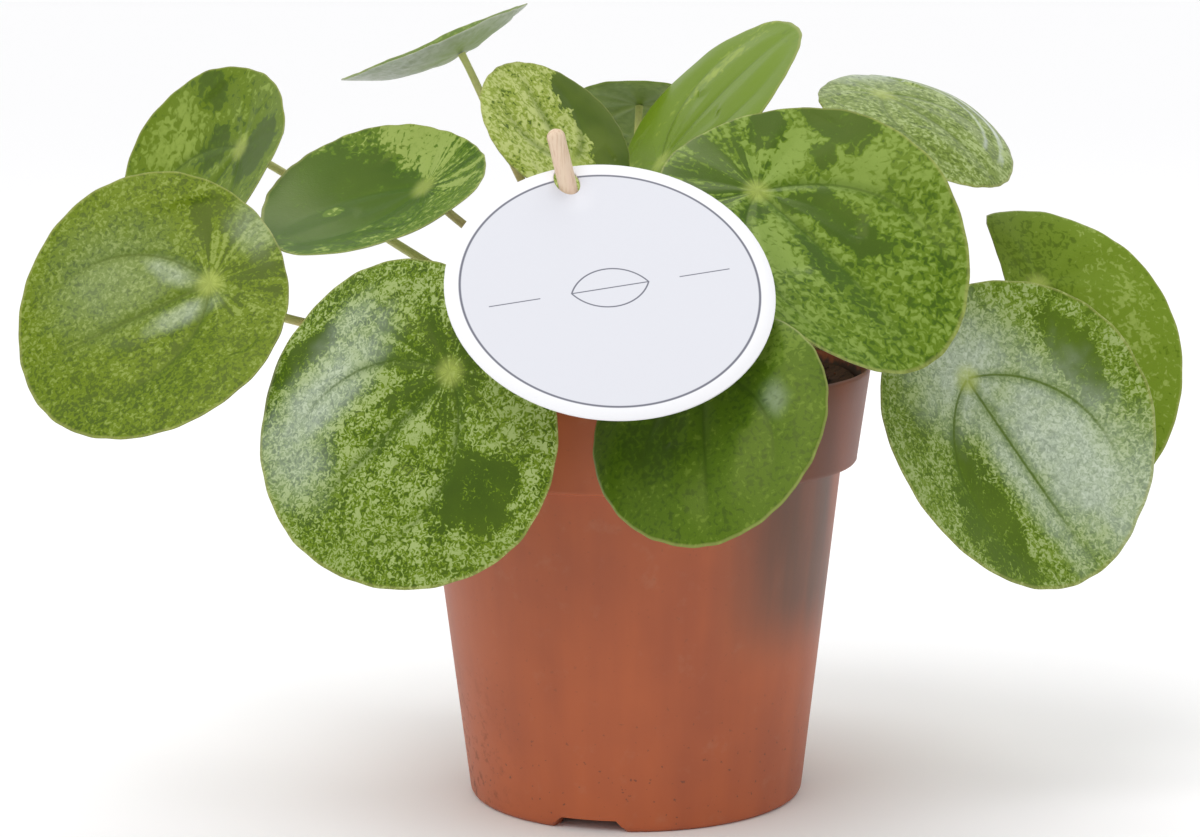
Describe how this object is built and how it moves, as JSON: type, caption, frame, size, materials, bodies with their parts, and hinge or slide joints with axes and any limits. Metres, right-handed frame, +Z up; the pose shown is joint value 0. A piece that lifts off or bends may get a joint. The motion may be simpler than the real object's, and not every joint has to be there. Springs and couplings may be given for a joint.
{
  "type": "potted mojito pilea",
  "caption": "Potted mojito pilea with round mottled leaves on thin stalks, in a tapered terracotta-coloured plastic nursery pot, with a blank round card label on a wooden stick.",
  "frame": {"origin": "middle of the pot's foot, on the surface it stands on", "axes": "+Z up, -Y towards the front, where the card label faces, +X to the right as seen from the front"},
  "size_m": [0.2954, 0.2006, 0.2017],
  "materials": {
    "pot": "satin terracotta-coloured plastic",
    "soil": "dark, rough potting soil",
    "stem": "dull brown-green bark",
    "bud": "soft pale green",
    "leaf": "smooth waxy green with fine pale mottle",
    "petiole": "smooth brownish green",
    "card": "smooth white card",
    "stick": "plain pale wood"
  },
  "bodies": {
    "root": {"pot": "pot", "soil": "soil", "stem": "stem", "bud": "bud", "leaf_blade_01": "leaf", "petiole_01": "petiole", "leaf_blade_02": "leaf", "petiole_02": "petiole", "leaf_blade_03": "leaf", "petiole_03": "petiole", "leaf_blade_04": "leaf", "petiole_04": "petiole", "leaf_blade_05": "leaf", "petiole_05": "petiole", "leaf_blade_06": "leaf", "petiole_06": "petiole", "leaf_blade_07": "leaf", "petiole_07": "petiole", "leaf_blade_08": "leaf", "petiole_08": "petiole", "leaf_blade_09": "leaf", "petiole_09": "petiole", "leaf_blade_10": "leaf", "petiole_10": "petiole", "leaf_blade_11": "leaf", "petiole_11": "petiole", "leaf_blade_12": "leaf", "petiole_12": "petiole", "leaf_blade_13": "leaf", "petiole_13": "petiole", "leaf_blade_14": "leaf", "petiole_14": "petiole", "leaf_blade_15": "leaf", "petiole_15": "petiole", "leaf_blade_16": "leaf", "petiole_16": "petiole", "leaf_blade_17": "leaf", "petiole_17": "petiole", "label_card": "card", "label_stick": "stick"}
  },
  "joints": []
}
